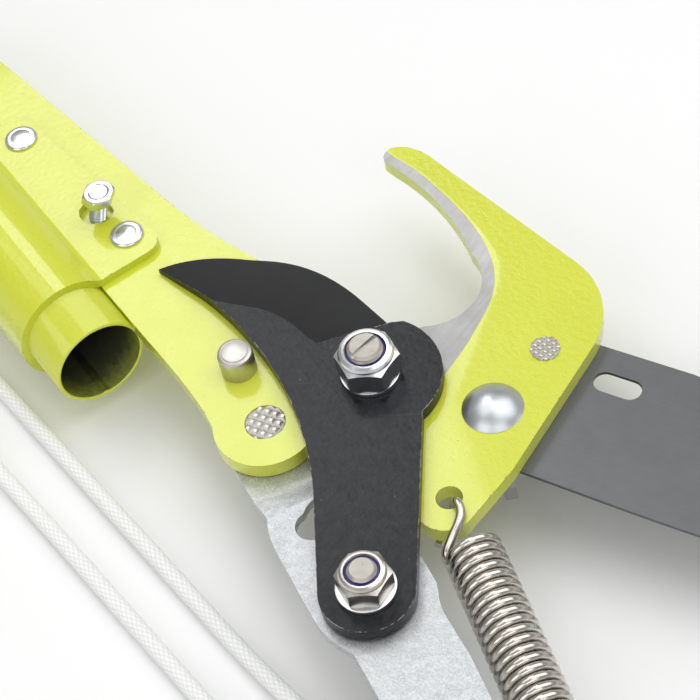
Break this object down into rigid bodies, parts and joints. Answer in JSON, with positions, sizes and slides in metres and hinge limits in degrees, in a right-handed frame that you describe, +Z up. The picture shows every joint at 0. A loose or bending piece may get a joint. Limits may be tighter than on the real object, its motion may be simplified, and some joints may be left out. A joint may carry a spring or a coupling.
{
  "type": "telescoping pole saw",
  "caption": "Telescoping pole with a head that carries a rope-pulled bypass cutting blade, a hook and a curved pruning saw.",
  "frame": {"origin": "centre of the hang hole in the butt cap, on the pole's axis", "axes": "+X along the pole towards the head, +Y towards the hook and the saw, +Z up out of the head plate's face as the tool lies flat"},
  "size_m": [1.6672, 0.4348, 0.0452],
  "materials": {
    "green_paint": "thick satin powder paint with an orange-peel texture",
    "green_plastic": "moulded plastic, semi-gloss",
    "anodised_aluminium": "drawn and clear anodised",
    "black_plastic": "moulded glass-filled nylon",
    "foam_grip": "closed-cell foam sleeve",
    "white_plastic": "moulded acetal",
    "zinc_plate": "bright zinc plate",
    "bright_steel": "turned bright steel",
    "forged_black": "blackened forging with a ground edge",
    "saw_steel": "satin ground spring steel",
    "galvanised": "speckled zinc coating",
    "spring_wire": "nickel-plated wire",
    "rope": "braided white polyester",
    "tie": "woven hook-and-loop strap"
  },
  "bodies": {
    "outer_pole": {"pole_outer": "green_paint", "butt_cap": "black_plastic", "grip_lower": "foam_grip", "grip_upper": "foam_grip", "lock_lower_collar": "black_plastic", "lock_lower_screw": "zinc_plate", "lock_lower_pin": "bright_steel"},
    "lower_lock_lever": {"lock_lower_lever": "green_plastic"},
    "mid_pole": {"pole_mid": "anodised_aluminium", "mid_guide_bush": "white_plastic", "lock_upper_collar": "black_plastic", "lock_upper_screw": "zinc_plate", "lock_upper_pin": "bright_steel"},
    "upper_lock_lever": {"lock_upper_lever": "green_plastic"},
    "head": {"pole_top": "anodised_aluminium", "top_guide_bush": "white_plastic", "socket_tube": "green_paint", "socket_rivets": "zinc_plate", "tube_saddle": "green_paint", "saddle_bolt": "zinc_plate", "saddle_nut": "zinc_plate", "saddle_rivets": "zinc_plate", "head_plate": "green_paint", "stop_stud": "bright_steel", "pivot_bolt": "zinc_plate", "pivot_washers": "zinc_plate", "pivot_nut": "zinc_plate", "lever_pivot_rivet": "bright_steel", "saw_blade": "saw_steel", "saw_clamp_bolt": "zinc_plate", "saw_washer": "zinc_plate", "saw_locating_pin": "bright_steel", "rope_eye": "galvanised", "rope_knot": "rope", "rope_strands": "rope", "rope_coil": "rope", "rope_tie": "tie", "rope_tail": "rope", "pull_handle": "green_plastic", "handle_knot": "rope"},
    "saw_wing_nut": {"wing_nut": "zinc_plate"},
    "blade": {"cutting_blade": "forged_black", "drive_bolt": "zinc_plate", "drive_washers": "zinc_plate", "drive_nut": "zinc_plate"},
    "lever": {"power_lever": "galvanised", "pulley_bolt": "zinc_plate", "pulley_nut": "zinc_plate", "pulley_cheek": "galvanised", "cheek_spacer": "zinc_plate"},
    "rope_pulley": {"pulley": "black_plastic"},
    "spring": {"return_spring": "spring_wire"},
    "spring_tip": {"spring_hook": "spring_wire"}
  },
  "joints": [
    {"name": "lower_lock_swing", "type": "hinge", "parent": "outer_pole", "child": "lower_lock_lever", "pos_m": [1.016, 0.0245, 0.0126], "axis": [1, 0, 0], "range_deg": [-110, 0]},
    {"name": "mid_slide", "type": "slide", "parent": "outer_pole", "child": "mid_pole", "axis": [1, 0, 0], "range_m": [0, 0.8]},
    {"name": "upper_lock_swing", "type": "hinge", "parent": "mid_pole", "child": "upper_lock_lever", "pos_m": [1.078, 0.0245, 0.0126], "axis": [1, 0, 0], "range_deg": [-110, 0]},
    {"name": "head_slide", "type": "slide", "parent": "mid_pole", "child": "head", "axis": [1, 0, 0], "range_m": [0, 0.8]},
    {"name": "blade_swing", "type": "hinge", "parent": "head", "child": "blade", "pos_m": [1.3635, 0.0525, 0], "axis": [0, 0, 1], "range_deg": [-68, 0], "stiffness_Nm_per_rad": 0.4, "springref_deg": 17.19},
    {"name": "lever_swing", "type": "hinge", "parent": "head", "child": "lever", "pos_m": [1.355, 0.0226, 0], "axis": [0, 0, 1], "range_deg": [-88.5, 0], "deforming": ["return_spring", "rope_strands", "spring_hook"]},
    {"name": "pulley_spin", "type": "hinge", "parent": "lever", "child": "rope_pulley", "pos_m": [1.50004, -0.01998, 0], "axis": [0, 0, 1], "continuous": true},
    {"name": "spring_swing", "type": "hinge", "parent": "head", "child": "spring", "pos_m": [1.4073, 0.0464, 0], "axis": [0, 0, 1], "range_deg": [-91.4, 0]},
    {"name": "spring_stretch", "type": "slide", "parent": "spring", "child": "spring_tip", "axis": [0.9613, -0.2755, 0], "range_m": [0, 0.082]},
    {"name": "wing_nut_turn", "type": "hinge", "parent": "head", "child": "saw_wing_nut", "pos_m": [1.3916, 0.0723, 0], "axis": [0, 0, 1], "continuous": true}
  ],
  "couplings": [
    {"joint": "lever_swing", "follows": "blade_swing", "ratio": 1.3},
    {"joint": "spring_swing", "follows": "blade_swing", "ratio": 1.3364},
    {"joint": "spring_stretch", "follows": "blade_swing", "m_per_rad": -0.06735}
  ]
}
